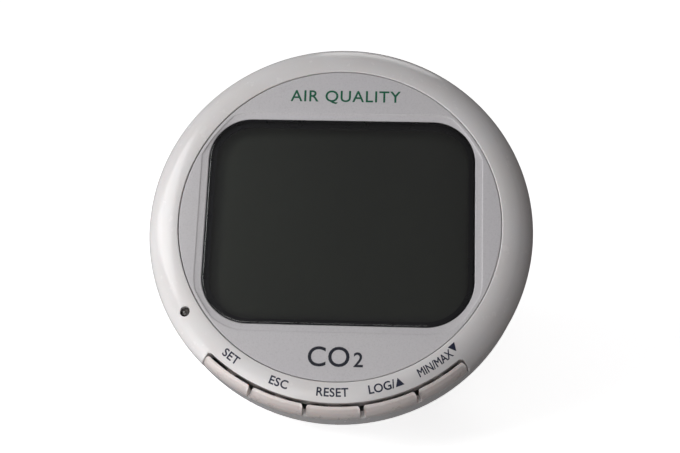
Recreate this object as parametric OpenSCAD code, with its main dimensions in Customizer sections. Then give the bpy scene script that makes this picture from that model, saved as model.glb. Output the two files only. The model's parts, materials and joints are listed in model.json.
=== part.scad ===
// Desktop carbon dioxide monitor: a tilted round head with a large display,
// five keys along the lower rim, and a column stand behind it.
// Head pieces are drawn in the head's own frame: +Z comes out of the face,
// +Y runs up the face, and the origin is the middle of the front plane.

/* [Overall] */
// Overall depth, front of the rim to back of the stand
overall_depth = 102; // [98:1:124]
// Lean of the face back from upright, degrees
tilt = 40; // [34:1:44]
// Air gap between the head's lowest point and the table
rim_gap = 3; // [2:0.5:8]
// Wall thickness of every moulded shell
shell_wall = 2.2; // [1.8:0.1:2.8]
// Gap left along every joint line between two shells
seam_gap = 0.2; // [0.1:0.05:0.4]

/* [Front bezel] */
// Largest radius of the head
rim_r = 58.75; // [57:0.25:72]
// Radial width of the rounded rim
rim_width = 9.85; // [8:0.05:11]
// Depth over which the rim rounds off
rim_drop = 7; // [5:0.5:7.5]
// Depth of the bezel from front plane to parting line
bezel_depth = 9; // [8:0.5:11]
// Radius that the key notch is cut down to, inward from the rim
notch_depth = 3.95; // [3:0.05:5]
// Angle that the key notch spans
notch_angle = 85; // [70:1:95]

/* [Face panel] */
// Thickness of the flat face panel
panel_t = 2; // [1.4:0.1:2.6]
// How far the panel lies below the front plane
panel_recess = 0.25; // [0:0.05:0.6]
// Window width
window_w = 81.5; // [66:0.5:84]
// Window height
window_h = 64.6; // [53:0.1:66]
// Window centre above the face centre
window_up = 0.4; // [-1:0.1:1]
// Corner radius of the window at its top
window_r_top = 13; // [8:0.5:16]
// Corner radius of the window at its bottom
window_r_bottom = 14.5; // [8:0.5:18]
// Width of the sloping band round the window
window_bevel = 2.4; // [1:0.1:3]

/* [Display] */
// How far the clear pane's face lies below the panel's
pane_drop = 0.2; // [0.1:0.05:0.6]
// Clearance round the clear pane
pane_gap = 0.12; // [0.05:0.01:0.2]
// Height of the black gasket between the panel and the display glass
gasket_t = 3.4; // [2.6:0.1:4]
// How far the gasket reaches in under the pane's edge
gasket_lip = 1; // [0.6:0.1:2]
// How far the display glass reaches past the window on each side
glass_border = 1.2; // [0.8:0.1:2]
// Thickness of each of the two display glasses
glass_t = 1.1; // [0.7:0.1:1.3]
// Depth of the contact ledge along the top and bottom of the display
contact_ledge = 2.2; // [1.5:0.1:3]

/* [Keys] */
// Gap between neighbouring keys, degrees of rim
key_gap_angle = 1.2; // [0.8:0.1:2]
// Radial thickness of a key cap
key_cap_t = 2.7; // [2.2:0.1:3.2]
// Step of a key's outer face below the rim
key_step = 0.25; // [0.1:0.05:0.6]
// Travel of a key
key_travel = 0.6; // [0.3:0.05:0.65]
// Width of a key's stem
stem_w = 3.2; // [2.4:0.1:4]
// Height of a key's stem
stem_h = 1.6; // [1.2:0.1:2]
// Thickness of the wall that guides the key stems
guide_wall = 1.4; // [1.2:0.1:1.8]
// Radius of a key switch's plunger
plunger_r = 1.5; // [1:0.1:1.6]
// Side of a key switch's square body
switch_w = 6; // [5:0.5:7]
// Depth of a key switch's body along its plunger
switch_depth = 3.5; // [3:0.1:4.5]

/* [Indicator] */
// Radius of the indicator lamp
led_r = 1.45; // [1:0.05:1.5]
// Radial place of the indicator lamp, inward from the rim
led_inset = 5.35; // [4.5:0.05:6]
// Angle of the indicator lamp round the face
led_angle = -147.5; // [-150:0.5:-140]

/* [Rear shell] */
// Step of the rear shell's edge below the rim
lip_step = 0.4; // [0.2:0.1:0.8]
// Depth at which the rear shell starts to curve in
lip_depth = 19.5; // [17:0.5:23]
// Radius of the rear shell's lower corner
corner_r = 5; // [4:0.5:7]
// Width of a vent slot
vent_w = 2.2; // [1.6:0.1:3]
// Spacing of the vent slots
vent_pitch = 7; // [5:0.5:8]
// Number of vent slots
vent_count = 9; // [5:2:9]

/* [Circuit boards] */
// Thickness of each circuit board
board_t = 1.6; // [1:0.1:2]
// Front face of the main board, below the front plane
board_depth = 11.5; // [11:0.1:13]
// Radial room between the main board and the rear shell
board_margin = 2.6; // [2:0.1:4]

/* [Stand] */
// Width of the stand
stand_w = 72; // [70:1:86]
// Stand's front face behind the head's centre line
stand_setback = 1.6; // [0:0.1:6]
// Corner radius of the stand at the front
stand_r_front = 15; // [12:0.5:18]
// Corner radius of the stand at the back
stand_r_back = 9; // [6:0.5:9]
// Radius of the arched top of the stand
arch_r = 38; // [37:0.5:44]
// Thickness of the base plate
plate_t = 2; // [1.6:0.1:2.4]
// Height of the feet under the base plate
foot_h = 1.2; // [0.8:0.1:2.5]
// Radius of a foot
foot_r = 4; // [3:0.1:4]

/* [Battery bay] */
// Diameter of a backup cell
cell_d = 10.5; // [10:0.1:10.5]
// Length of a backup cell
cell_len = 44.5; // [40:0.1:44.5]
// Number of backup cells
cell_count = 4; // [2:1:4]
// Room for a spring at the negative end of a cell
spring_len = 3.8; // [2.5:0.1:4]
// Wall of the battery bay
bay_wall = 1.2; // [0.8:0.1:1.4]
// Thickness of the battery door
door_t = 1.6; // [1.2:0.1:1.8]
// Clearance round the battery door
door_gap = 0.3; // [0.2:0.05:0.5]

/* [Hidden] */

$fn = 96;
eps = 0.01;
far = 200;
rim_steps = 18;
corner_steps = 6;
dome_steps = 18;

// Colours
white_gloss = [0.90, 0.88, 0.88];
white_matte = [0.80, 0.79, 0.80];
black_soft = [0.08, 0.08, 0.08];
board_green = [0.10, 0.34, 0.18];
metal = [0.76, 0.76, 0.74];

// Head: levels below the front plane
groove_r = rim_r - rim_width;
panel_r = groove_r - seam_gap;
panel_top = -panel_recess;
panel_bottom = panel_top - panel_t;
ledge_t = 1.2;
ledge_top = panel_bottom - 0.1;
ledge_bottom = ledge_top - ledge_t;
ledge_margin = 1.2;
pane_top = panel_top - pane_drop;
glass_top = panel_bottom - gasket_t;
glass_mid = glass_top - glass_t;
glass_bottom = glass_mid - glass_t;
reflector_t = 0.3;
reflector_bottom = glass_bottom - reflector_t;
board_top = -board_depth;
board_bottom = board_top - board_t;

// Head: rear shell
lip_r = rim_r - lip_step;
lip_top = -(bezel_depth + seam_gap);
corner_c = lip_r - corner_r;
join_a = 45;
dome_r = (corner_c + corner_r * cos(join_a)) / cos(join_a);
dome_c = (dome_r - corner_r) * sin(join_a) - lip_depth;
shell_r_in = lip_r - shell_wall;
board_r = shell_r_in - board_margin;

// Head: where it stands
head_z = rim_gap + corner_c * cos(tilt) + lip_depth * sin(tilt) + corner_r;
rim_curve = [for (i = [0:rim_steps]) rim_point(90 * i / rim_steps)];
notch_r = rim_r - notch_depth;
guide_r = notch_r - guide_wall;
notch_rib = 2;
key_r = rim_r - key_step;
key_in = key_r - key_cap_t;
key_face = [[key_in, -1.5], [key_in + 0.9, -1.9], [key_in + 1.8, -3.1], [key_in + 2.4, -4.8], [key_r, -6.6]];
front_reach = max([for (p = concat(rim_curve, key_face)) p[0] * sin(tilt) + p[1] * cos(tilt)]);
head_y = front_reach - overall_depth / 2;

// Keys
key_pitch = notch_angle / 5;
key_span = key_pitch - key_gap_angle;
stem_z = board_top + 3.9;
flange_out = guide_r - 0.2;
flange_t = 0.9;
flange_in = flange_out - flange_t;
flange_w = stem_w + 2.2;
switch_out = flange_in - key_travel - 0.4;
switch_in = switch_out - switch_depth;
plunger_hold = 1.7;
plunger_gap = 0.08;
stem_gap = 0.3;

// Fasteners
screw_pilot_r = 1.15;
screw_clear_r = 1.5;
screw_head_r = 2.4;
screw_head_h = 1.6;
boss_r = 3.2;
rear_boss_r = boss_r + 1;
head_pocket_r = 3;
case_boss_r = board_r - 1.6;
case_angles = [62, 118, -12, -168];
case_split = board_top - 0.6;
case_seat = lip_top - 8.8;
board_posts = [[0, case_boss_r - 5], [48.5 / 58.75 * rim_r, 12], [-48.5 / 58.75 * rim_r, 12]];
post_r = 2.6;
stand_mounts = [[-20, -14], [20, -14], [0, 12]];
mount_pad_r = 4;
mount_pad_t = 2;
boss_len = 7;
neck_hole = [0, -9];
neck_r = 6.5;
ribbon_plug_h = 4;

// Stand and base
back_y = overall_depth / 2;
front_y = head_y + stand_setback;
plate_bottom = foot_h;
plate_top = plate_bottom + plate_t;
saddle_gap = seam_gap;

// Battery bay
cell_pitch = cell_d + 0.3;
bay_len = cell_count * cell_pitch;
bay_back = back_y - shell_wall - seam_gap - bay_wall;
bay_front = bay_back - bay_len;
contact_t = 0.3;
bump_h = 1.4;
cell_shift = (spring_len - bump_h) / 2;
bay_half = cell_len / 2 + (spring_len + bump_h) / 2 + contact_t + 0.05;
door_top = plate_top - 0.2;
door_bottom = door_top - door_t;
cell_z = door_top + 0.25 + cell_d / 2;
bay_top = cell_z + cell_d / 2 + 0.2;
bay_ceiling = 1;
door_half = bay_half - 0.4;
door_front = bay_front - 0.6;
tongue_w = 1.1;
tongue_t = 0.7;
base_screw_x = stand_w / 2 - 5.4;
base_boss_r = 3.4;
base_screw_y = [front_y + 24, back_y - 19];
base_boss_top = plate_top + 9;
front_foot_y = min(front_y + 8, door_front - foot_r - 1.5);
foot_places = [[-stand_w / 2 + 14, front_foot_y], [stand_w / 2 - 14, front_foot_y],
    [-stand_w / 2 + 4.8, back_y - 11], [stand_w / 2 - 4.8, back_y - 11]];
foot_seat = 0.8;

// Ports
port_board_w = 48;
port_board_l = 22;
port_z = bay_top + bay_ceiling + 2.2;
port_top = port_z + board_t;
port_back = back_y - shell_wall - 0.6;
port_post_x = port_board_w / 2 - 3.5;
port_post_y = port_back - port_board_l + 3.5;
jack_x = -12;
jack_w = 9;
jack_h = 11;
jack_len = 14;
jack_bore_r = 3.1;
jack_pin_r = 1;
jack_bore_depth = 9.5;
jack_z = port_top + jack_h - 5;
jack_hole_r = 4.6;
socket_x = 11;
socket_w = 7.7;
socket_h = 3.9;
socket_len = 9.2;
socket_hole_w = 9.4;
socket_hole_h = 5.6;
socket_reach = 0.4;
socket_z = port_top + socket_h / 2 + 0.2;

// The stand's arch, raised where the back of a deep stand would come down on the jack
arch_drop = 8;
port_cover = 9.5;
arch_need = (port_top + jack_h + port_cover - head_z) * cos(tilt) + (back_y - head_y) * sin(tilt);
arch_v = max(-arch_drop, arch_need - arch_r);

// Gas sensor
gas_v = 19;
gas_board_w = 60;
gas_board_h = 32;
gas_stand_off = 6;
gas_board_top = board_bottom - gas_stand_off;
gas_board_bottom = gas_board_top - board_t;
chamber_r = 6.5;
chamber_bore = 5;
chamber_len = 44;
chamber_z = gas_board_bottom - chamber_r - 0.6;

// A point on the rounded rim: t = 0 is the widest point, t = 90 is the front edge
function rim_point(t, inset = 0) =
    [groove_r + (rim_width - inset) * cos(t), (rim_drop - inset) * sin(t) - rim_drop];

// The rear shell's outline, from its front edge to the axis, moved in by inset
function dome_outline(inset) = concat(
    [[lip_r - inset, lip_top]],
    [for (i = [0:corner_steps])
        let (a = join_a * i / corner_steps)
        [corner_c + (corner_r - inset) * cos(a), -lip_depth - (corner_r - inset) * sin(a)]],
    [for (i = [1:dome_steps])
        let (a = join_a + (90 - join_a) * i / dome_steps)
        [(dome_r - inset) * cos(a), dome_c - (dome_r - inset) * sin(a)]]);

function reversed(list) = [for (i = [len(list) - 1:-1:0]) list[i]];

// Depth of a dome of radius r at a place on the face plane
function dome_z(p, r = dome_r) = dome_c - sqrt(r * r - p[0] * p[0] - p[1] * p[1]);

function key_angle(i) = -90 - notch_angle / 2 + key_pitch * (i + 0.5);

function polar(r, a) = [r * cos(a), r * sin(a)];

// Moves a drawing from the head's frame to the table's
module in_head() {
    translate([0, head_y, head_z])
    rotate([90 - tilt, 0, 0])
    children();
}

// A slab whose top is at z = top
module slab(top, bottom) {
    translate([0, 0, bottom])
    linear_extrude(top - bottom)
    children();
}

// A cylinder along the head's Z at a place on the face
module post(p, r, top, bottom) {
    translate([p[0], p[1], bottom])
    cylinder(r = r, h = top - bottom);
}

// A rectangle with its own corner radius at the top and at the bottom
module rounded(w, h, r_top, r_bottom) {
    half = w / 2;
    for (side = [-1, 1]) {
        translate([side * (half - r_top), h / 2 - r_top]) circle(r_top);
        translate([side * (half - r_bottom), r_bottom - h / 2]) circle(r_bottom);
    }
    translate([-half, r_bottom - h / 2]) square([w, h - r_top - r_bottom]);
    translate([r_top - half, 0]) square([w - 2 * r_top, h / 2]);
    translate([r_bottom - half, -h / 2]) square([w - 2 * r_bottom, h / 2]);
}

// The window's outline, grown on all sides
module window_outline(grow = 0) {
    translate([0, window_up])
    rounded(window_w + 2 * grow, window_h + 2 * grow, window_r_top + grow, window_r_bottom + grow);
}

// A sharp-cornered plate outline centred on the window
module window_plate(grow) {
    translate([0, window_up])
    square([window_w + 2 * grow, window_h + 2 * grow], center = true);
}

// A ring sector turned about the head's axis, drawn from [radius, z] points
module ring_sector(from, span, points) {
    rotate([0, 0, from])
    rotate_extrude(angle = span)
    polygon(points);
}

module ring_box(from, span, r_in, r_out, top, bottom) {
    ring_sector(from, span, [[r_in, bottom], [r_out, bottom], [r_out, top], [r_in, top]]);
}

// A round tube along a path; sides corners to each ring
module tube(path, r, sides = 8) {
    n = len(path);
    function along(i) =
        let (a = path[max(i - 1, 0)], b = path[min(i + 1, n - 1)]) (b - a) / norm(b - a);
    function side_of(t) = let (c = cross(t, [0.31, 0.17, 0.94])) c / norm(c);
    rings = [for (i = [0:n - 1])
        let (t = along(i), u = side_of(t), v = cross(t, u))
        for (k = [0:sides - 1]) path[i] + r * (cos(360 * k / sides) * u + sin(360 * k / sides) * v)];
    walls = [for (i = [0:n - 2], k = [0:sides - 1])
        [i * sides + k, i * sides + (k + 1) % sides,
         (i + 1) * sides + (k + 1) % sides, (i + 1) * sides + k]];
    ends = [[for (k = [sides - 1:-1:0]) k], [for (k = [0:sides - 1]) (n - 1) * sides + k]];
    polyhedron(rings, [for (f = concat(walls, ends)) reversed(f)]);
}

// A pan-head screw pointing along +Z, its seat at z = 0
module screw(len) {
    difference() {
        union() {
            translate([0, 0, -screw_head_h]) cylinder(r = screw_head_r, h = screw_head_h);
            translate([0, 0, -eps]) cylinder(r = screw_pilot_r - 0.1, h = len);
        }
        for (turn = [0, 90])
            rotate([0, 0, turn])
            translate([-1.5, -0.3, -screw_head_h - eps])
            cube([3, 0.6, 0.9]);
    }
}

// ---- Front of the head ----

// The rim and the flat shelf behind the face panel, before it is hollowed
module bezel_ring() {
    rotate_extrude()
    polygon(concat(
        [[0, -bezel_depth], [rim_r, -bezel_depth]],
        rim_curve,
        [[panel_r + seam_gap, -0.5], [panel_r + seam_gap, ledge_top], [0, ledge_top]]));
}

// The hollow behind the rim, narrower where the keys' guide wall stands
module bezel_hollow() {
    start = guide_r - 0.5;
    inner_stop = acos((start - groove_r) / (rim_width - shell_wall));
    inner = [for (i = [0:8]) rim_point(inner_stop * i / 8, shell_wall)];
    below = -bezel_depth - 1;
    half = notch_angle / 2 + notch_rib;
    ring_sector(half - 90, 360 - 2 * half, concat([[start, below], [rim_r - shell_wall, below]], inner));
    slab(ledge_bottom, below) circle(guide_r);
}

module stem_slots() {
    for (i = [0:4])
        rotate([0, 0, key_angle(i)])
        translate([guide_r - 1, -stem_w / 2 - stem_gap, -bezel_depth - 1])
        cube([guide_wall + 2, stem_w + 2 * stem_gap, stem_z + stem_h / 2 + stem_gap + bezel_depth + 1]);
}

module front_bezel() {
    color(white_gloss)
    in_head()
    difference() {
        union() {
            difference() {
                bezel_ring();
                bezel_hollow();
                ring_box(-90 - notch_angle / 2, notch_angle, notch_r, rim_r + 1, 1, -bezel_depth - 1);
            }
            for (a = case_angles) post(polar(case_boss_r, a), boss_r, ledge_bottom + 0.5, case_split);
            for (p = board_posts) post(p, post_r, ledge_bottom + 0.5, board_top);
        }
        slab(1, -bezel_depth - 1) window_outline(ledge_margin);
        stem_slots();
        post(polar(rim_r - led_inset, led_angle), led_r + 0.1, 1, ledge_bottom - 4);
        for (a = case_angles)
            post(polar(case_boss_r, a), screw_pilot_r, case_split + 7.5, case_split - 1);
        for (p = board_posts) post(p, screw_pilot_r, board_top + 6, board_top - 1);
    }
}

module face_panel() {
    color(white_matte)
    in_head()
    difference() {
        rotate_extrude()
        polygon([[0, panel_bottom], [panel_r, panel_bottom], [panel_r, panel_top - 0.3],
            [panel_r - 0.3, panel_top], [0, panel_top]]);
        slab(1, panel_bottom - 1) window_outline();
        slab(1, panel_top - 0.35) intersection() {
            window_outline(window_bevel);
            circle(panel_r - 0.9);
        }
    }
}

module display_window() {
    color([0.75, 0.80, 0.80, 0.5])
    in_head()
    slab(pane_top, panel_bottom) window_outline(-pane_gap);
}

// Black ring that carries the pane's edge and seals it to the display glass
module window_gasket() {
    color(black_soft)
    in_head()
    slab(panel_bottom, glass_top)
    difference() {
        window_outline(ledge_margin - 0.2);
        window_outline(-gasket_lip);
    }
}

module display_glass() {
    color([0.20, 0.21, 0.19])
    in_head() {
        slab(glass_top, glass_mid) window_plate(glass_border);
        slab(glass_mid + eps, glass_bottom)
        translate([0, window_up])
        square([window_w + 2 * glass_border, window_h + 2 * (glass_border - contact_ledge)],
            center = true);
    }
}

module display_reflector() {
    color([0.62, 0.64, 0.60])
    in_head()
    slab(glass_bottom, reflector_bottom)
    translate([0, window_up])
    square([window_w, window_h + 2 * (glass_border - contact_ledge) - 1], center = true);
}

// Tray that carries the display over the main board, with slots for the contact strips
module display_frame() {
    frame_wall = 1.6;
    strip_y = window_h / 2 + glass_border - contact_ledge / 2;
    color([0.86, 0.86, 0.84])
    in_head()
    difference() {
        slab(glass_top - 0.4, board_top)
        intersection() {
            window_plate(glass_border + 0.2 + frame_wall);
            circle(rim_r - shell_wall - 2);
        }
        post(polar(rim_r - led_inset, led_angle), led_r + 0.6, 1, board_top - 1);
        slab(1, reflector_bottom) window_plate(glass_border + 0.2);
        slab(reflector_bottom - 1.2, board_top - 1) window_plate(-6);
        for (side = [-1, 1])
            slab(1, board_top - 1)
            translate([0, window_up + side * strip_y])
            square([window_w - 5, contact_ledge], center = true);
    }
}

module contact_strips() {
    strip_y = window_h / 2 + glass_border - contact_ledge / 2;
    color([0.45, 0.45, 0.46])
    in_head()
    for (side = [-1, 1])
        slab(glass_mid, board_top)
        translate([0, window_up + side * strip_y])
        square([window_w - 5.4, contact_ledge - 0.3], center = true);
}

module status_lamp() {
    dome_z0 = -3.2;
    flange_z = -6.8;
    color([0.30, 0.29, 0.28])
    in_head()
    translate(concat(polar(rim_r - led_inset, led_angle), [0])) {
        intersection() {
            translate([0, 0, dome_z0]) sphere(led_r);
            translate([-2, -2, dome_z0 - eps]) cube([4, 4, 3]);
        }
        translate([0, 0, flange_z]) cylinder(r = led_r, h = dome_z0 - flange_z);
        for (side = [-1, 1])
            rotate([0, 0, led_angle + 90])
            translate([side * 0.9 - 0.2, -0.2, board_top + 0.05])
            cube([0.4, 0.4, flange_z - board_top]);
    }
}

// ---- Keys ----

module key_cap() {
    base = 0.2 - bezel_depth;
    ring_sector(-key_span / 2, key_span, concat([[key_in, base]], key_face, [[key_r, base]]));
}

module key(i) {
    color([0.93, 0.89, 0.87])
    in_head()
    rotate([0, 0, key_angle(i)]) {
        key_cap();
        translate([flange_out - 0.2, -stem_w / 2, stem_z - stem_h / 2])
        cube([key_in - flange_out + 0.7, stem_w, stem_h]);
        translate([flange_in, -flange_w / 2, stem_z - stem_h / 2])
        cube([flange_t, flange_w, stem_h]);
    }
}

module plunger(i) {
    color([0.15, 0.15, 0.15])
    in_head()
    rotate([0, 0, key_angle(i)])
    translate([switch_out - plunger_hold, 0, stem_z])
    rotate([0, 90, 0])
    cylinder(r = plunger_r, h = flange_in - switch_out + plunger_hold - 0.05);
}

module key_switches() {
    top = stem_z + switch_w / 2 - 0.6;
    color([0.25, 0.25, 0.26])
    in_head()
    for (i = [0:4])
        rotate([0, 0, key_angle(i)])
        difference() {
            translate([switch_in, -switch_w / 2, board_top])
            cube([switch_depth, switch_w, top - board_top]);
            translate([switch_out - plunger_hold - key_travel - 0.2, 0, stem_z])
            rotate([0, 90, 0])
            cylinder(r = plunger_r + plunger_gap, h = switch_depth);
        }
}

// ---- Electronics in the head ----

module main_board() {
    color(board_green)
    in_head()
    difference() {
        slab(board_top, board_bottom) circle(board_r);
        for (a = case_angles)
            post(polar(case_boss_r, a), rear_boss_r + 0.3, board_top + 1, board_bottom - 1);
        for (p = board_posts) post(p, screw_clear_r, board_top + 1, board_bottom - 1);
    }
}

// Chips, a ribbon connector and capacitors on the back of the main board
module board_parts() {
    blocks = [[-16, -14, 12, 12, 1.4], [16, -14, 8, 6, 1.6], [-30, -16, 7, 5, 1.6],
        [-22, -30, 9, 3, 2.2], [4, -28, 12, 6, 5.5], [38, -4, 9, 5, 2.4],
        [neck_hole[0], neck_hole[1], 10, 4, ribbon_plug_h]];
    cans = [[-34, -28, 3.2, 7], [22, -34, 2.5, 6]];
    color([0.12, 0.12, 0.13])
    in_head() {
        for (b = blocks)
            translate([b[0] - b[2] / 2, b[1] - b[3] / 2, board_bottom - b[4]])
            cube([b[2], b[3], b[4]]);
        for (c = cans) post(c, c[2], board_bottom, board_bottom - c[3]);
    }
}

module board_screws() {
    color(metal)
    in_head()
    for (p = board_posts)
        translate([p[0], p[1], board_bottom])
        screw(6);
}

module buzzer() {
    buzzer_h = 8.5;
    color([0.10, 0.10, 0.10])
    in_head()
    translate([32, -22, board_bottom - buzzer_h])
    difference() {
        cylinder(r = 6, h = buzzer_h);
        translate([0, 0, -1]) cylinder(r = 1.2, h = 3);
    }
}

module gas_board() {
    color([0.08, 0.22, 0.40])
    in_head()
    slab(gas_board_top, gas_board_bottom)
    translate([0, gas_v])
    square([gas_board_w, gas_board_h], center = true);
}

module gas_header() {
    color(metal)
    in_head()
    for (side = [-1, 1], i = [0:4])
        translate([side * (gas_board_w / 2 - 3) - 0.3, gas_v - 5 + i * 2.54 - 0.3, gas_board_top])
        cube([0.6, 0.6, gas_stand_off]);
}

// Gold-plated tube with two gas ports in its back
module gas_chamber() {
    color([0.80, 0.66, 0.34])
    in_head()
    difference() {
        union() {
            translate([-chamber_len / 2, gas_v, chamber_z])
            rotate([0, 90, 0])
            cylinder(r = chamber_r, h = chamber_len);
            for (side = [-1, 1])
                translate([side * 16 - 2.5, gas_v - 4, gas_board_bottom - 3])
                cube([5, 8, 3]);
        }
        translate([-chamber_len / 2 - 1, gas_v, chamber_z])
        rotate([0, 90, 0])
        cylinder(r = chamber_bore, h = chamber_len + 2);
        for (side = [-1, 1])
            translate([side * 9, gas_v, chamber_z - chamber_r - 1])
            cylinder(r = 2, h = chamber_r);
        translate([-14, gas_v - 4, chamber_z - chamber_r - 1]) cube([28, 8, 1.6]);
    }
}

module gas_membrane() {
    color([0.95, 0.95, 0.95])
    in_head()
    translate([-13.5, gas_v - 2.4, chamber_z - chamber_r + 0.2])
    cube([27, 4.8, 0.35]);
}

module gas_lamp() {
    color([0.85, 0.80, 0.60])
    in_head()
    translate([-chamber_len / 2 - 1, gas_v, chamber_z])
    rotate([0, 90, 0]) {
        cylinder(r = chamber_bore - 0.1, h = 3);
        cylinder(r = 2, h = 8);
        translate([0, 0, 8]) sphere(2);
    }
}

module gas_detector() {
    color(metal)
    in_head()
    translate([chamber_len / 2 + 1.4, gas_v, chamber_z])
    rotate([0, -90, 0]) {
        cylinder(r = chamber_bore - 0.1, h = 1.2);
        cylinder(r = 4.1, h = 5.5);
    }
}

module humidity_board() {
    color(board_green)
    in_head()
    translate([-42, -14, board_bottom - 4])
    cube([9, 12, 1]);
}

module humidity_sensor() {
    color([0.95, 0.95, 0.93])
    in_head() {
        difference() {
            translate([-40, -10, board_bottom - 5.2]) cube([5, 5, 1.2]);
            translate([-37.5, -7.5, board_bottom - 6]) cylinder(r = 1, h = 1);
        }
        for (i = [0:3])
            translate([-41 + 2 * i, -13.4, board_bottom - 3])
            cube([0.5, 0.5, 3]);
    }
}

// ---- Rear shell ----

module vent_slots() {
    for (i = [0:vent_count - 1]) {
        x = (i - (vent_count - 1) / 2) * vent_pitch;
        top_v = sqrt(46 * 46 - x * x) - 4;
        bottom_v = 15;
        translate([0, 0, -60])
        linear_extrude(50)
        union() {
            translate([x, bottom_v]) circle(vent_w / 2);
            translate([x, top_v]) circle(vent_w / 2);
            translate([x - vent_w / 2, bottom_v]) square([vent_w, top_v - bottom_v]);
        }
    }
}

module rear_shell() {
    tongue_out = rim_r - shell_wall - seam_gap;
    color(white_gloss)
    in_head()
    difference() {
        union() {
            rotate_extrude()
            polygon(concat(dome_outline(0), reversed(dome_outline(shell_wall))));
            difference() {
                ring_box(0, 360, tongue_out - 1.2, tongue_out, lip_top + 1.5, lip_top - 2);
                ring_box(-90 - notch_angle / 2 - 3, notch_angle + 6, tongue_out - 3, tongue_out + 1,
                    lip_top + 3, lip_top - 3);
                for (a = case_angles)
                    post(polar(case_boss_r, a), boss_r + 0.4, lip_top + 3, lip_top - 3);
            }
            intersection() {
                union() {
                    for (a = case_angles)
                        post(polar(case_boss_r, a), rear_boss_r, case_split - seam_gap, -60);
                    for (p = stand_mounts)
                        post(p, boss_r, dome_z(p, dome_r - shell_wall) + boss_len, -60);
                }
                rotate_extrude()
                polygon(concat(dome_outline(0.4), [[0, lip_top]]));
            }
        }
        for (a = case_angles) {
            post(polar(case_boss_r, a), screw_clear_r, 1, -60);
            post(polar(case_boss_r, a), head_pocket_r, case_seat, -60);
        }
        for (p = stand_mounts)
            post(p, screw_pilot_r, dome_z(p, dome_r - shell_wall) + boss_len - 1.5, -60);
        post(neck_hole, neck_r, -20, -60);
        vent_slots();
    }
}

module case_screws() {
    color(metal)
    in_head()
    for (a = case_angles)
        translate(concat(polar(case_boss_r, a), [case_seat]))
        screw(case_split - case_seat + 6.5);
}

// ---- Stand ----

// The stand's plan, moved in by inset
module stand_plan(inset = 0) {
    len_y = back_y - front_y;
    translate([0, (back_y + front_y) / 2])
    rounded(stand_w - 2 * inset, len_y - 2 * inset, stand_r_back - inset, stand_r_front - inset);
}

// Column with an arched top that leans with the head
module stand_column(inset, bottom) {
    intersection() {
        slab(head_z + 40, bottom) stand_plan(inset);
        in_head()
        translate([0, arch_v, -far]) {
            cylinder(r = arch_r - inset, h = far);
            translate([inset - arch_r, -far, 0]) cube([2 * (arch_r - inset), far, far]);
        }
    }
}

module dome_ball(grow) {
    in_head()
    translate([0, 0, dome_c])
    sphere(dome_r + grow);
}

module stand() {
    color(white_gloss)
    difference() {
        stand_column(0, plate_top);
        dome_ball(saddle_gap);
        difference() {
            stand_column(shell_wall, plate_top - 1);
            dome_ball(saddle_gap + shell_wall);
            in_head()
            for (p = stand_mounts)
                post(p, mount_pad_r, 0, dome_z(p) - shell_wall - mount_pad_t);
            for (side = [-1, 1], y = base_screw_y)
                translate([side * base_screw_x, y, plate_top - 2])
                cylinder(r = base_boss_r, h = base_boss_top - plate_top + 2);
        }
        for (side = [-1, 1], y = base_screw_y)
            translate([side * base_screw_x, y, plate_top - 1])
            cylinder(r = screw_pilot_r, h = base_boss_top - plate_top - 1);
        in_head() {
            for (p = stand_mounts) post(p, screw_clear_r, 0, dome_z(p) - 12);
            post(neck_hole, neck_r, 0, dome_z(neck_hole) - 8);
        }
        translate([jack_x, back_y + 1, jack_z])
        rotate([90, 0, 0])
        cylinder(r = jack_hole_r, h = shell_wall + 2);
        translate([socket_x - socket_hole_w / 2, back_y - shell_wall - 1, socket_z - socket_hole_h / 2])
        cube([socket_hole_w, shell_wall + 2, socket_hole_h]);
    }
}

module stand_screws() {
    color(metal)
    in_head()
    for (p = stand_mounts)
        translate([p[0], p[1], dome_z(p) - shell_wall - mount_pad_t - 0.01])
        screw(8);
}

// ---- Ports ----

module port_board() {
    color(board_green)
    difference() {
        translate([-port_board_w / 2, port_back - port_board_l, port_z])
        cube([port_board_w, port_board_l, board_t]);
        for (side = [-1, 1])
            translate([side * port_post_x, port_post_y, port_z - 1])
            cylinder(r = screw_clear_r, h = board_t + 2);
    }
}

module power_jack() {
    color([0.10, 0.10, 0.10])
    difference() {
        translate([jack_x - jack_w / 2, port_back + 0.3 - jack_len, port_top])
        cube([jack_w, jack_len, jack_h]);
        translate([jack_x, port_back + 1, jack_z])
        rotate([90, 0, 0])
        difference() {
            cylinder(r = jack_bore_r, h = jack_bore_depth + 1);
            cylinder(r = jack_pin_r, h = far);
        }
    }
}

module data_socket() {
    tab_t = 1;
    color(metal)
    translate([socket_x, port_back + socket_reach - socket_len, port_top])
    difference() {
        translate([-socket_w / 2, 0, 0]) cube([socket_w, socket_len, socket_h + 0.4]);
        translate([0.4 - socket_w / 2, 1.2, 0.6])
        difference() {
            cube([socket_w - 0.8, socket_len, socket_h - 0.6]);
            translate([1.4, -1, (socket_h - 0.6 - tab_t) / 2])
            cube([socket_w - 3.6, socket_len - 1, tab_t]);
        }
    }
}

module port_screws() {
    color(metal)
    for (side = [-1, 1])
        translate([side * port_post_x, port_post_y, port_top])
        rotate([180, 0, 0])
        screw(3.4);
}

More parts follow.
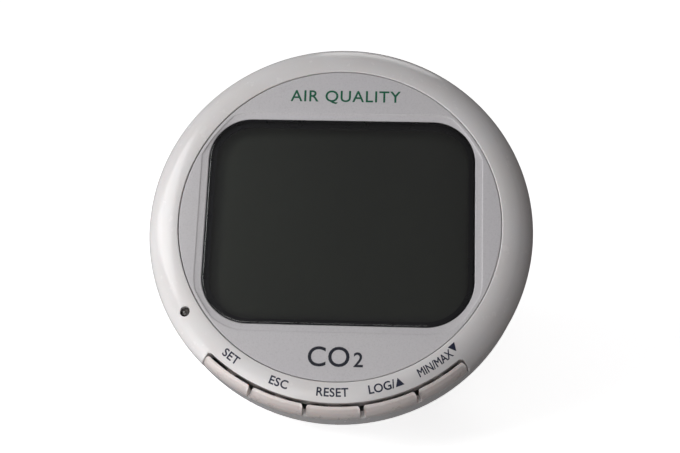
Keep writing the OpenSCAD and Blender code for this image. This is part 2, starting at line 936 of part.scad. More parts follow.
// Flat cable from the ports, up through the neck, to the main board
module ribbon_cable() {
    neck_y = head_y + neck_hole[1] * sin(tilt) - dome_z(neck_hole) * cos(tilt);
    neck_z = head_z + neck_hole[1] * cos(tilt) + dome_z(neck_hole) * sin(tilt);
    plug_z = board_bottom - ribbon_plug_h - 0.6;
    top_y = head_y + neck_hole[1] * sin(tilt) - plug_z * cos(tilt);
    top_z = head_z + neck_hole[1] * cos(tilt) + plug_z * sin(tilt);
    route = [[port_back - port_board_l + 9, port_top + 0.4],
        [port_back - port_board_l + 5, port_top + 2.4],
        [neck_y + 5 * cos(tilt), neck_z - 5 * sin(tilt)],
        [neck_y - 4 * cos(tilt), neck_z + 4 * sin(tilt)],
        [top_y, top_z]];
    color([0.55, 0.56, 0.58])
    for (i = [0:len(route) - 2])
        hull()
        for (p = [route[i], route[i + 1]])
            translate([-4, p[0] - 0.35, p[1] - 0.35])
            cube([8, 0.7, 0.7]);
}

// ---- Base ----

module base_plate() {
    color(white_gloss)
    difference() {
        union() {
            slab(plate_top - seam_gap / 2, plate_bottom) stand_plan();
            difference() {
                union() {
                    translate([-bay_half - bay_wall, bay_front - bay_wall, plate_bottom + 0.5])
                    cube([2 * (bay_half + bay_wall), bay_len + 2 * bay_wall,
                        bay_top + bay_ceiling - plate_bottom - 0.5]);
                    for (side = [-1, 1])
                        translate([side * port_post_x, port_post_y, bay_top])
                        cylinder(r = 2.6, h = port_z - bay_top);
                }
                dome_ball(saddle_gap + shell_wall + 0.3);
            }
        }
        translate([-bay_half, bay_front, plate_bottom - 1])
        cube([2 * bay_half, bay_len, bay_top - plate_bottom + 1]);
        translate([-door_half - door_gap, door_front - door_gap, plate_bottom - 1])
        cube([2 * (door_half + door_gap), far, plate_top - plate_bottom + 1]);
        translate([-door_half - tongue_w - door_gap, door_front - door_gap, door_top - tongue_t - door_gap])
        cube([2 * (door_half + tongue_w + door_gap), far, tongue_t + door_gap + 0.2]);
        for (side = [-1, 1], y = base_screw_y)
            translate([side * base_screw_x, y, plate_bottom - 1]) {
                cylinder(r = screw_clear_r, h = plate_t + 2);
                cylinder(r = screw_head_r + 0.3, h = 1.7);
            }
        for (p = foot_places)
            translate([p[0], p[1], plate_bottom - 1])
            cylinder(r = foot_r + 0.1, h = 1 + foot_seat);
        for (side = [-1, 1])
            translate([side * port_post_x, port_post_y, port_z - 3.6])
            cylinder(r = screw_pilot_r, h = 5);
    }
}

module base_screws() {
    color(metal)
    for (side = [-1, 1], y = base_screw_y)
        translate([side * base_screw_x, y, plate_bottom + 0.7])
        difference() {
            union() {
                translate([0, 0, -0.6]) cylinder(r = screw_head_r, h = 0.6);
                cylinder(r = screw_pilot_r - 0.1, h = 7);
            }
            for (turn = [0, 90])
                rotate([0, 0, turn])
                translate([-1.4, -0.3, -1])
                cube([2.8, 0.6, 0.8]);
        }
}

module rubber_feet() {
    color(black_soft)
    for (p = foot_places)
        translate([p[0], p[1], 0])
        rotate_extrude()
        polygon([[0, 0], [foot_r - 0.5, 0], [foot_r, 0.5], [foot_r, foot_h + foot_seat], [0, foot_h + foot_seat]]);
}

function cell_y(i) = bay_front + cell_pitch * (i + 0.5);

function cell_way(i) = i % 2 == 0 ? 1 : -1;

module battery_cells() {
    color([0.20, 0.45, 0.30])
    for (i = [0:cell_count - 1])
        translate([cell_way(i) * cell_shift - cell_way(i) * cell_len / 2, cell_y(i), cell_z])
        rotate([0, cell_way(i) * 90, 0]) {
            cylinder(r = cell_d / 2, h = cell_len - 1);
            cylinder(r = 1.9, h = cell_len);
        }
}

module battery_contacts() {
    color(metal)
    for (i = [0:cell_count - 1], side = [-1, 1]) {
        face = side * (bay_half - 0.02);
        translate([face - (side > 0 ? contact_t : 0), cell_y(i) - 4, cell_z - 4])
        cube([contact_t, 8, 8]);
        if (side == cell_way(i))
            translate([face - side * contact_t, cell_y(i), cell_z])
            rotate([0, -side * 90, 0])
            cylinder(r = 2, h = bump_h - 0.05);
    }
}

// Conical coil springs at the cells' negative ends
module battery_springs() {
    turns = 2.5;
    wire_r = 0.3;
    per_turn = 8;
    room = spring_len - 2 * wire_r - 0.1;
    color(metal)
    for (i = [0:cell_count - 1])
        translate([-cell_way(i) * (bay_half - contact_t - 0.05 - wire_r), cell_y(i), cell_z])
        tube([for (k = [0:turns * per_turn])
            let (a = 360 * k / per_turn, r = 3.4 - 1.2 * k / (turns * per_turn))
            [cell_way(i) * room * k / (turns * per_turn), r * cos(a), r * sin(a)]], wire_r, 5);
}

module battery_leads() {
    board_front = port_back - port_board_l;
    ceiling = bay_top + bay_ceiling;
    color([0.75, 0.15, 0.12])
    for (side = [-1, 1])
        tube([[side * 15, board_front - 13, ceiling + 0.6],
            [side * 15, board_front - 9, ceiling + 0.7],
            [side * 14.6, board_front - 5, ceiling + 1.4],
            [side * 14, board_front - 2, port_top + 0.9],
            [side * 13.5, board_front + 1.5, port_top + 1.3],
            [side * 13, board_front + 4, port_top + 0.6]], 0.5, 8);
}

module battery_door() {
    door_back = back_y;
    color(white_gloss)
    difference() {
        union() {
            translate([-door_half, door_front, door_bottom])
            cube([2 * door_half, door_back - door_front, door_t]);
            translate([-door_half - tongue_w, door_front, door_top - tongue_t])
            cube([2 * (door_half + tongue_w), door_back - door_front, tongue_t]);
        }
        for (i = [0:3])
            translate([-7, door_back - 8 - 2 * i, door_bottom - 1])
            cube([14, 0.9, 1.4]);
    }
}

// Blank label under the base plate
module rating_label() {
    color([0.88, 0.88, 0.86])
    translate([-14, front_y + 2, plate_bottom - 0.12])
    cube([28, 13, 0.12]);
}

front_bezel();
face_panel();
display_window();
window_gasket();
display_glass();
display_reflector();
display_frame();
contact_strips();
status_lamp();
key(0);  // set_button
key(1);  // esc_button
key(2);  // reset_button
key(3);  // log_up_button
key(4);  // min_max_down_button
plunger(0);  // set_plunger
plunger(1);  // esc_plunger
plunger(2);  // reset_plunger
plunger(3);  // log_up_plunger
plunger(4);  // min_max_down_plunger
key_switches();
main_board();
board_parts();
board_screws();
buzzer();
gas_board();
gas_chamber();
gas_lamp();
gas_detector();
gas_membrane();
gas_header();
humidity_board();
humidity_sensor();
rear_shell();
case_screws();
stand();
stand_screws();
port_board();
power_jack();
data_socket();
port_screws();
ribbon_cable();
base_plate();
base_screws();
rubber_feet();
battery_cells();
battery_contacts();
battery_springs();
battery_leads();
battery_door();
rating_label();
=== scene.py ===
import json
import math

import bmesh
import bpy
import numpy as np
from mathutils import Matrix, Vector


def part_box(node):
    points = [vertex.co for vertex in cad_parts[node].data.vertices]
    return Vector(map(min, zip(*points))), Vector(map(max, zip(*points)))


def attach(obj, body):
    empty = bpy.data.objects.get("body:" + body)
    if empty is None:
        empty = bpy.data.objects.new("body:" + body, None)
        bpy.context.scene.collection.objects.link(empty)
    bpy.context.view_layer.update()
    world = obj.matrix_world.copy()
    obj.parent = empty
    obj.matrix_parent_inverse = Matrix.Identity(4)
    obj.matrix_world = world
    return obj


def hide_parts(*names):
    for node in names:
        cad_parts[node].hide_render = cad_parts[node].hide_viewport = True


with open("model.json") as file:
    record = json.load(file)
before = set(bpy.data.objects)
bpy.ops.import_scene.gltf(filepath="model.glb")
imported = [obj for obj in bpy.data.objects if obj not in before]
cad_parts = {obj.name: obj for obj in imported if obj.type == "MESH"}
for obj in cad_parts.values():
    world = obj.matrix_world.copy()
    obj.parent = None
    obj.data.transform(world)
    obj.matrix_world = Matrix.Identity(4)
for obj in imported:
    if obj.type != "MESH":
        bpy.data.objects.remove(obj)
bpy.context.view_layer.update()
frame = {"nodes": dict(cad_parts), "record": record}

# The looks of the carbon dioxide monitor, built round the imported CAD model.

MM = 0.001
BODY = "housing"
KEYS = ("set", "esc", "reset", "log_up", "min_max_down")

# Sizes that the replaced nodes share with part.scad, in millimetres, in the head's own frame:
# x to the reader's right, u up the face and z out of it, from the middle of the front plane.
TILT = math.radians(40)
SIN, COS = math.sin(TILT), math.cos(TILT)
RIM_R, RIM_W, RIM_DROP = 58.75, 9.85, 7.0
GROOVE_R = RIM_R - RIM_W
BEZEL_DEPTH = 9.0
SHELL_WALL = 2.2
NOTCH_R = RIM_R - 3.95
GUIDE_R = NOTCH_R - 1.4
NOTCH_ANGLE = 85.0
NOTCH_RIB = 2.0
PANEL_R = 48.7
PANEL_TOP, PANEL_BOTTOM = -0.25, -2.25
LEDGE_TOP, LEDGE_BOTTOM = -2.35, -3.55
WINDOW_W, WINDOW_H, WINDOW_UP = 81.5, 64.6, 0.4
WINDOW_R_TOP, WINDOW_R_BOTTOM = 13.0, 14.5
BORDER_W = 1.9
PANE_TOP = PANEL_TOP - 0.2
PANE_GAP = 0.12
KEY_R = RIM_R - 0.25
KEY_IN = KEY_R - 2.7
KEY_PITCH = NOTCH_ANGLE / 5
KEY_GAP_ANGLE = 1.2
LED_R, LED_INSET, LED_ANGLE = 1.45, 5.35, -147.5
LED_BASE, LED_DOME = -6.8, -3.2
STEM_Z, STEM_W, STEM_H = -7.6, 3.2, 1.6

# Small sizes of the finer pieces, in millimetres.
SKIN = 0.02  # how far the crown stands inside the CAD surface
GROOVE_EDGE = 0.24
BACK_EDGE = 0.3
NOTCH_LIP, NOTCH_LIP_DROP = 0.32, 0.34
NOTCH_CORNER = 1.1
PANEL_EDGE = 0.17
BAND_REACH, BAND_SPREAD = 47.12, 0.28  # the window's band is cut short by the panel's edge
KEY_CORNER, KEY_FILLET = 0.8, 0.34
LED_HOLE_CLEAR, LED_HOLE_TOP, LED_HOLE_BOTTOM = 0.1, 1, -7.5
LEAD_R, LEAD_APART, LEAD_END = 0.22, 0.9, -11.4
STEM_CLEAR = 0.3
INK_LIFT, INK_SINK, INK_EDGE = 0.02, 0.05, 0.6  # above and below the surface, longest edge
ARROW = (2.6, 2.4)

# How finely the outlines are divided.
OUTER_STEPS, CORNER_STEPS, STRAIGHT_STEPS, FACE_STEPS, FLAT_STEPS = 30, 240, 40, 960, 420

# The band round the window, as (distance outside the window, height).
BAND = ((0.0, PANEL_BOTTOM), (0.0, -0.92), (0.03, -0.78), (0.11, -0.67), (0.25, -0.605),
        (0.5, -0.585), (1.2, -0.50), (2.0, -0.40), (2.12, -0.375), (2.2, -0.31), (2.32, -0.268),
        (2.55, PANEL_TOP))


def head_origin():
    """The head's frame in millimetres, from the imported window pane, which is symmetric about it."""
    low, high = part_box("display_window")
    mid = (low + high) / (2 * MM)
    z = (PANE_TOP + PANEL_BOTTOM) / 2
    return mid.y - SIN * WINDOW_UP + COS * z, mid.z - COS * WINDOW_UP - SIN * z


HEAD_Y, HEAD_Z = head_origin()


def head(points):
    """Points in the head's frame, in millimetres, as points in the row frame, in metres."""
    p = np.asarray(points, float).reshape(-1, 3)
    y = HEAD_Y + SIN * p[:, 1] - COS * p[:, 2]
    z = HEAD_Z + COS * p[:, 1] + SIN * p[:, 2]
    return np.column_stack([p[:, 0], y, z]) * MM


def head_vector(v):
    """A direction in the head's frame, turned into the row frame."""
    return Vector((v[0], SIN * v[1] - COS * v[2], COS * v[1] + SIN * v[2]))


def ring(radii, heights, angles):
    """Points at these radii, heights and angles (degrees) round the head's axis."""
    a = np.radians(angles)
    r = np.broadcast_to(radii, a.shape)
    return np.column_stack([r * np.cos(a), r * np.sin(a), np.broadcast_to(heights, a.shape)])


def circle(x, u, r, z, sides):
    """Points round an axis that is parallel to the head's."""
    a = np.linspace(0, 2 * math.pi, sides, endpoint=False)
    return np.column_stack([x + r * np.cos(a), u + r * np.sin(a), np.full(sides, z)])


# ---------------------------------------------------------------- meshes

def new_object(name, data):
    """An object in the scene, from a mesh, a text, a light or a camera."""
    obj = bpy.data.objects.new(name, data)
    bpy.context.scene.collection.objects.link(obj)
    return obj


def set_surface(obj, material, smooth):
    """One material, smooth faces, and sharp edges above this angle in degrees."""
    mesh = obj.data
    mesh.materials.clear()
    mesh.materials.append(material)
    mesh.shade_smooth()
    mesh.set_sharp_from_angle(angle=math.radians(smooth))


def make_piece(name, verts, faces, material, body=BODY, replaces=(), smooth=38):
    """A mesh piece that rides on a body; its verts are in the row frame, in metres."""
    mesh = bpy.data.meshes.new(name)
    mesh.from_pydata([tuple(v) for v in verts], [], [tuple(int(i) for i in f) for f in faces])
    bm = bmesh.new()
    bm.from_mesh(mesh)
    bmesh.ops.remove_doubles(bm, verts=bm.verts, dist=1e-7)
    bmesh.ops.dissolve_degenerate(bm, edges=bm.edges, dist=1e-8)
    bmesh.ops.recalc_face_normals(bm, faces=bm.faces)
    bm.to_mesh(mesh)
    bm.free()
    obj = new_object(name, mesh)
    set_surface(obj, material, smooth)
    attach(obj, body)
    if replaces:
        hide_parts(*replaces)
    return obj


def loft(rows, closed=False, capped=False):
    """Quads between loops of points that all have the same count.

    closed joins the last row to the first; capped puts a face on each of them."""
    rows = [np.asarray(r, float) for r in rows]
    n, m = len(rows), len(rows[0])
    faces = []
    for i in range(n if closed else n - 1):
        a, b = i * m, ((i + 1) % n) * m
        for j in range(m):
            k = (j + 1) % m
            faces.append((a + j, a + k, b + k, b + j))
    if capped:
        faces += [tuple(range(m)), tuple(range(n * m - 1, (n - 1) * m - 1, -1))]
    return np.vstack(rows), faces


def round_corners(points, radii, steps):
    """A closed loop with each corner swapped for a short curve that starts its radius away."""
    p = np.asarray(points, float)
    out = []
    for i, v in enumerate(p):
        before, after = p[i - 1] - v, p[(i + 1) % len(p)] - v
        la, lb = np.linalg.norm(before), np.linalg.norm(after)
        d = min(radii[i], 0.45 * la, 0.45 * lb)
        a, b = v + before / la * d, v + after / lb * d
        for s in np.linspace(0, 1, steps + 1):
            out.append((1 - s) ** 2 * a + 2 * s * (1 - s) * v + s * s * b)
    return np.array(out)


def boolean_cut(obj, cutter):
    """Cuts obj with cutter, applies it and deletes the cutter."""
    mod = obj.modifiers.new("cut", "BOOLEAN")
    mod.operation = "DIFFERENCE"
    mod.solver = "EXACT"
    mod.object = cutter
    graph = bpy.context.evaluated_depsgraph_get()
    mesh = bpy.data.meshes.new_from_object(obj.evaluated_get(graph))
    obj.modifiers.clear()
    obj.data = mesh
    bpy.data.objects.remove(cutter)


def cutter_from(parts):
    """One object from closed (verts, faces) parts in the row frame."""
    verts, faces, base = [], [], 0
    for v, f in parts:
        verts.extend(tuple(p) for p in v)
        faces.extend(tuple(int(i) + base for i in face) for face in f)
        base += len(v)
    mesh = bpy.data.meshes.new("cutter")
    mesh.from_pydata(verts, [], faces)
    bm = bmesh.new()
    bm.from_mesh(mesh)
    bmesh.ops.recalc_face_normals(bm, faces=bm.faces)
    bm.to_mesh(mesh)
    bm.free()
    return new_object("cutter", mesh)


def drum(x, u, r, top, bottom, sides=48):
    """A closed cylinder along the head's axis."""
    verts, faces = loft([circle(x, u, r, z, sides) for z in (top, bottom)], capped=True)
    return head(verts), faces


def radial_box(angle, r_in, r_out, half, z_low, z_high):
    """A closed box along a radius of the head."""
    a = math.radians(angle)
    along = np.array([math.cos(a), math.sin(a)])
    side = np.array([-math.sin(a), math.cos(a)])
    verts = [(*(along * r + side * s), z)
             for r in (r_in, r_out) for s in (-half, half) for z in (z_low, z_high)]
    faces = [(0, 1, 3, 2), (4, 6, 7, 5), (0, 4, 5, 1), (2, 3, 7, 6), (0, 2, 6, 4), (1, 5, 7, 3)]
    return head(verts), faces


# ---------------------------------------------------------------- window outline

def window_points(grow):
    """The window's rounded outline, grown on all sides, as (x, u) points."""
    w, h = WINDOW_W / 2 + grow, WINDOW_H / 2 + grow
    corners = []
    for sx, su, start in ((1, 1, 0), (-1, 1, 90), (-1, -1, 180), (1, -1, 270)):
        r = (WINDOW_R_TOP if su > 0 else WINDOW_R_BOTTOM) + grow
        a = np.radians(np.linspace(start, start + 90, CORNER_STEPS))
        x, u = sx * (w - r) + r * np.cos(a), su * (h - r) + r * np.sin(a)
        corners.append(np.column_stack([x, u]))
    p = np.vstack(corners)
    dense = []
    for here, after in zip(p, np.roll(p, -1, axis=0)):
        step = after - here
        straight = np.linalg.norm(step) > 1
        shares = np.linspace(0, 1, STRAIGHT_STEPS, endpoint=False) if straight else (0,)
        dense += [here + step * s for s in shares]
    return np.array(dense) + (0, WINDOW_UP)


def window_radius(angles, grow):
    """Distance from the head's axis to the grown window outline at these angles (degrees)."""
    p = window_points(grow)
    a, r = np.degrees(np.arctan2(p[:, 1], p[:, 0])), np.hypot(p[:, 0], p[:, 1])
    order = np.argsort(a)
    return np.interp(angles, a[order], r[order], period=360)


def flat_outline(grow, z):
    """The grown window outline at one height."""
    angles = np.linspace(-180, 180, FLAT_STEPS, endpoint=False)
    return ring(window_radius(angles, grow), z, angles)


# ---------------------------------------------------------------- materials

def new_material(name, color, roughness, metallic=0.0, coat=0.0):
    """A material and its shader, with the constants on the shader's own sockets."""
    mat = bpy.data.materials.new(name)
    mat.use_nodes = True
    shader = mat.node_tree.nodes["Principled BSDF"]
    shader.inputs["Base Color"].default_value = (*color, 1)
    shader.inputs["Roughness"].default_value = roughness
    shader.inputs["Metallic"].default_value = metallic
    shader.inputs["IOR"].default_value = 1.5
    shader.inputs["Coat Weight"].default_value = coat
    shader.inputs["Coat Roughness"].default_value = 0.08
    return mat, shader


def noise(tree, scale, detail=3.0, rough=0.5, stretch=None):
    """Noise in object space; scale is in waves per metre."""
    coords = tree.nodes.new("ShaderNodeTexCoord")
    source = coords.outputs["Object"]
    if stretch:
        mapping = tree.nodes.new("ShaderNodeMapping")
        mapping.inputs["Scale"].default_value = stretch
        tree.links.new(source, mapping.inputs["Vector"])
        source = mapping.outputs["Vector"]
    tex = tree.nodes.new("ShaderNodeTexNoise")
    tex.inputs["Scale"].default_value = scale
    tex.inputs["Detail"].default_value = detail
    tex.inputs["Roughness"].default_value = rough
    tree.links.new(source, tex.inputs["Vector"])
    return tex.outputs["Fac"]


def remap(tree, value, low, high, start=0.3, end=0.7):
    """value from start to end, spread over low to high."""
    node = tree.nodes.new("ShaderNodeMapRange")
    node.inputs["From Min"].default_value = start
    node.inputs["From Max"].default_value = end
    node.inputs["To Min"].default_value = low
    node.inputs["To Max"].default_value = high
    tree.links.new(value, node.inputs["Value"])
    return node.outputs["Result"]


def blend_colors(tree, value, first, second, start=0.35, end=0.65):
    """A colour between first and second, as value goes from start to end."""
    ramp = tree.nodes.new("ShaderNodeValToRGB")
    ramp.color_ramp.elements[0].position = start
    ramp.color_ramp.elements[1].position = end
    ramp.color_ramp.elements[0].color = (*first, 1)
    ramp.color_ramp.elements[1].color = (*second, 1)
    tree.links.new(value, ramp.inputs["Fac"])
    return ramp.outputs["Color"]


def add_bump(tree, shader, layers):
    """Bump from several noises, as (height, strength, depth in metres)."""
    last = None
    for height, strength, depth in layers:
        bump = tree.nodes.new("ShaderNodeBump")
        bump.inputs["Strength"].default_value = strength
        bump.inputs["Distance"].default_value = depth
        tree.links.new(height, bump.inputs["Height"])
        if last:
            tree.links.new(last, bump.inputs["Normal"])
        last = bump.outputs["Normal"]
    tree.links.new(last, shader.inputs["Normal"])


def scaled(color, k):
    """A colour made k times as light."""
    return tuple(min(1.0, c * k) for c in color)


def textured(name, color, roughness, spread=0.05, tone=0.04, grain=2500, bump=0.05, depth=2e-5,
             wave=30, metallic=0.0, coat=0.0, stretch=None, tint=None, ripple=0.12):
    """A moulded or rolled surface: slow tone changes, uneven gloss and a fine grain.

    spread is how far the gloss wanders, tone how far the colour does unless tint names the
    other colour, grain and wave are in waves per metre, depth is the grain's, in metres."""
    mat, shader = new_material(name, color, roughness, metallic, coat)
    tree = mat.node_tree
    slow = noise(tree, wave, 4.0, 0.6)
    other = tint or scaled(color, 1 - tone)
    tree.links.new(blend_colors(tree, slow, other, scaled(color, 1 + tone / 2)),
                   shader.inputs["Base Color"])
    patches = noise(tree, wave * 9, 5.0, 0.65, stretch)
    tree.links.new(remap(tree, patches, max(0.02, roughness - spread), roughness + spread),
                   shader.inputs["Roughness"])
    fine = noise(tree, grain, 2.0, 0.5, stretch)
    layers = [(fine, bump, depth)]
    if ripple:
        layers.append((slow, ripple, 4e-5))
    add_bump(tree, shader, layers)
    return mat


def sandblasted(name, color, roughness, grain, bump, depth):
    """A fine spark-eroded texture: two sizes of grain, the peaks a little lighter and shinier."""
    mat, shader = new_material(name, color, roughness)
    tree = mat.node_tree
    fine = noise(tree, grain, 2.0, 0.6)
    coarse = noise(tree, grain / 3, 3.0, 0.6)
    slow = noise(tree, 22, 3.0, 0.5)
    mix = tree.nodes.new("ShaderNodeMath")
    mix.operation = "ADD"
    tree.links.new(fine, mix.inputs[0])
    tree.links.new(coarse, mix.inputs[1])
    total = mix.outputs[0]
    tint = blend_colors(tree, total, scaled(color, 0.95), scaled(color, 1.04), 0.8, 1.2)
    drift = tree.nodes.new("ShaderNodeMix")
    drift.data_type = "RGBA"
    drift.blend_type = "MULTIPLY"
    drift.inputs["Factor"].default_value = 1.0
    tree.links.new(tint, drift.inputs["A"])
    tree.links.new(blend_colors(tree, slow, (0.975, 0.975, 0.985), (1.0, 1.0, 0.995)),
                   drift.inputs["B"])
    tree.links.new(drift.outputs["Result"], shader.inputs["Base Color"])
    tree.links.new(remap(tree, total, roughness + 0.07, roughness - 0.07, 0.8, 1.2),
                   shader.inputs["Roughness"])
    add_bump(tree, shader, [(coarse, bump * 0.7, depth * 1.5), (fine, bump, depth)])
    return mat


def circuit_board(name, color):
    """Solder mask over a faint weave, with lighter copper tracks under it."""
    mat, shader = new_material(name, color, 0.35)
    tree = mat.node_tree
    coords = tree.nodes.new("ShaderNodeTexCoord")
    bricks = tree.nodes.new("ShaderNodeTexBrick")
    bricks.inputs["Color1"].default_value = (*color, 1)
    bricks.inputs["Color2"].default_value = (*scaled(color, 1.3), 1)
    bricks.inputs["Mortar"].default_value = (*scaled(color, 2.2), 1)
    bricks.inputs["Scale"].default_value = 150
    bricks.inputs["Mortar Size"].default_value = 0.03
    tree.links.new(coords.outputs["Object"], bricks.inputs["Vector"])
    tree.links.new(bricks.outputs["Color"], shader.inputs["Base Color"])
    fine = noise(tree, 1800)
    tree.links.new(remap(tree, fine, 0.28, 0.45), shader.inputs["Roughness"])
    add_bump(tree, shader, [(bricks.outputs["Fac"], 0.2, 3e-5), (fine, 0.1, 2e-5)])
    return mat


def clear_plastic(name, color, roughness):
    """Polished acrylic: clear straight through, with a sharp reflection and fine hairlines."""
    mat = bpy.data.materials.new(name)
    mat.use_nodes = True
    tree = mat.node_tree
    tree.nodes.remove(tree.nodes["Principled BSDF"])
    clear = tree.nodes.new("ShaderNodeBsdfTransparent")
    clear.inputs["Color"].default_value = (*color, 1)
    mirror = tree.nodes.new("ShaderNodeBsdfGlossy")
    mirror.inputs["Color"].default_value = (1, 1, 1, 1)
    lines = noise(tree, 500, 4.0, 0.6, (1, 0.08, 0.08))
    tree.links.new(remap(tree, lines, roughness, roughness * 3, 0.45, 0.75),
                   mirror.inputs["Roughness"])
    fresnel = tree.nodes.new("ShaderNodeFresnel")
    fresnel.inputs["IOR"].default_value = 1.49
    mix = tree.nodes.new("ShaderNodeMixShader")
    tree.links.new(fresnel.outputs["Fac"], mix.inputs["Fac"])
    tree.links.new(clear.outputs["BSDF"], mix.inputs[1])
    tree.links.new(mirror.outputs["BSDF"], mix.inputs[2])
    tree.links.new(mix.outputs["Shader"], tree.nodes["Material Output"].inputs["Surface"])
    return mat


# Each line below: name, colour, roughness, spread, tone, grain, bump, depth.
FINISH = {
    "shell_white": textured("gloss_shell", (0.78, 0.765, 0.77), 0.24, 0.05, 0.03, 900, 0.04, 1.5e-5,
                            coat=0.25, tint=(0.76, 0.735, 0.725)),
    "face_satin": sandblasted("satin_face", (0.60, 0.585, 0.60), 0.5, 5200, 0.35, 3e-5),
    # The keys' cream-pink colour and its tint are partly the keys' own and partly painted warm bounce
    # light from below.
    "key_white": textured("cream_key_with_painted_warm_bounce", (0.80, 0.74, 0.72), 0.3, 0.06, 0.03, 1500, 0.05, 1.5e-5,
                          coat=0.15, tint=(0.78, 0.70, 0.675)),
    "clear_pane": clear_plastic("window_acrylic", (0.95, 0.96, 0.97), 0.02),
    "foam_black": textured("gasket_rubber", (0.012, 0.012, 0.013), 0.55, 0.08, 0.2, 2600, 0.3,
                           3e-5),
    "display_glass": textured("blank_display", (0.034, 0.0375, 0.0225), 0.35, 0.02, 0.01, 3800,
                              0.02, 1e-5, wave=12, tint=(0.031, 0.035, 0.020), ripple=0.0),
    "reflector_film": textured("reflector", (0.50, 0.52, 0.48), 0.35, metallic=0.4, grain=4000),
    "inner_plastic": textured("inner_tray", (0.74, 0.74, 0.71), 0.55, 0.08),
    "contact_rubber": textured("zebra_strip", (0.20, 0.20, 0.21), 0.7, 0.08, 0.5, 3000, 0.2, 3e-5,
                               stretch=(8, 0.5, 0.5)),
    "lamp_lens": textured("smoked_lens", (0.055, 0.05, 0.045), 0.08, 0.03, 0.1, 900, 0.03, 1e-5,
                          coat=1.0),
    "switch_black": textured("switch_black", (0.035, 0.035, 0.036), 0.5, 0.1, 0.2),
    "board_green": circuit_board("solder_mask_green", (0.02, 0.13, 0.045)),
    "board_blue": circuit_board("solder_mask_blue", (0.015, 0.05, 0.17)),
    "chip_black": textured("chip_epoxy", (0.02, 0.02, 0.022), 0.6, 0.1, 0.3, 3200, 0.3, 3e-5),
    "screw_steel": textured("zinc_plate", (0.58, 0.57, 0.54), 0.32, 0.1, 0.12, 1800, 0.1, 2e-5,
                            metallic=1.0),
    "gold_tube": textured("gold_plate", (0.80, 0.60, 0.26), 0.25, 0.08, 0.1, 1500, 0.1, 2e-5,
                          metallic=1.0),
    "can_steel": textured("tinned_can", (0.60, 0.60, 0.60), 0.3, 0.1, 0.1, 1500, 0.1, 2e-5,
                          metallic=1.0),
    "membrane_white": textured("membrane", (0.84, 0.84, 0.83), 0.85, 0.05, 0.06, 2200, 0.4, 4e-5),
    "port_black": textured("port_black", (0.02, 0.02, 0.02), 0.38, 0.08, 0.2, 2200, 0.12, 2e-5),
    "socket_nickel": textured("nickel_shell", (0.66, 0.65, 0.62), 0.22, 0.08, 0.1, 1500, 0.08, 2e-5,
                              metallic=1.0),
    "cable_grey": textured("ribbon_grey", (0.30, 0.31, 0.33), 0.45, 0.06, 0.3, 900, 0.2, 4e-5,
                           stretch=(9, 0.6, 0.6)),
    "lead_red": textured("lead_sleeve", (0.42, 0.02, 0.015), 0.4, 0.06, 0.15),
    "cell_jacket": textured("cell_sleeve", (0.03, 0.17, 0.07), 0.28, 0.06, 0.15, 900, 0.05, 2e-5,
                            coat=0.5),
    "contact_steel": textured("spring_steel", (0.60, 0.60, 0.57), 0.3, 0.1, 0.12, 1600, 0.1, 2e-5,
                              metallic=1.0),
    "foot_rubber": textured("foot_rubber", (0.025, 0.025, 0.026), 0.75, 0.08, 0.3, 2000, 0.3, 4e-5),
    "label_film": textured("label_film", (0.72, 0.72, 0.69), 0.42, 0.05, 0.04, 1800, 0.06, 1e-5),
}
INK_NAVY = textured("ink_navy", (0.012, 0.016, 0.045), 0.42, 0.06, 0.25, 4000, 0.1, 1e-5)
INK_GREEN = textured("ink_green", (0.004, 0.13, 0.065), 0.42, 0.06, 0.2, 4000, 0.1, 1e-5)
INK_BORDER = textured("ink_border", (0.006, 0.006, 0.009), 0.3, 0.05, 0.2, 3000, 0.05, 1e-5)
INK_BLACK = textured("ink_black", (0.016, 0.018, 0.03), 0.42, 0.06, 0.25, 4000, 0.1, 1e-5)

for name, weight in (("key_white", 0.12), ("shell_white", 0.06)):
    base = FINISH[name].node_tree.nodes["Principled BSDF"]
    base.inputs["Subsurface Weight"].default_value = weight
    base.inputs["Subsurface Radius"].default_value = (1.0, 0.55, 0.4)
    base.inputs["Subsurface Scale"].default_value = 0.0012

for part in frame["record"]["subparts"]:
    node = frame["nodes"].get(part["node"])
    if node:
        node.data.materials.clear()
        node.data.materials.append(FINISH[part["material_slot"]])


# ---------------------------------------------------------------- front rim

def rim_z(r):
    """Height of the rim's rounded crown at a distance from the axis."""
    c = np.clip((np.asarray(r, float) - GROOVE_R) / RIM_W, 0, 1)
    return RIM_DROP * np.sqrt(1 - c * c) - RIM_DROP


def crown_arc(inset, t):
    """Points (radius, height) on the crown's quarter ellipse, this far inside its surface."""
    return np.column_stack([GROOVE_R + (RIM_W - inset) * np.cos(t),
                            (RIM_DROP - inset) * np.sin(t) - RIM_DROP])


def arc(cx, cz, r, start, end, steps):
    """Points on a circle from one angle to another (degrees)."""
    a = np.radians(np.linspace(start, end, steps))
    return np.column_stack([cx + r * np.cos(a), cz + r * np.sin(a)])


def crown_common():
    """Groove wall, groove edge and crown, out as far as the keys' notch."""
    start = GROOVE_R + GROOVE_EDGE
    lip = arc(start, rim_z(start) - GROOVE_EDGE, GROOVE_EDGE, 180, 92, 7)
    run = np.linspace(start + 0.25, NOTCH_R - NOTCH_LIP, 16)
    wall = [(GROOVE_R, LEDGE_TOP), (GROOVE_R, -1.4)]
    return np.vstack([wall, lip, np.column_stack([run, rim_z(run)])])


def crown_full(inset):
    """The crown on to the widest point, the side and the back edge."""
    start = math.degrees(math.acos((NOTCH_R - GROOVE_R) / (RIM_W - inset)))
    curve = crown_arc(inset, np.radians(np.linspace(start, 0, OUTER_STEPS - 10)))
    back = -BEZEL_DEPTH
    r = RIM_R - inset
    side = np.column_stack([np.full(4, r), np.linspace(-RIM_DROP - 0.4, back + 0.45, 4)])
    edge = arc(r - BACK_EDGE, back + BACK_EDGE, BACK_EDGE, 0, -90, 5)
    return np.vstack([curve, side, edge, [(RIM_R - SHELL_WALL, back)]])


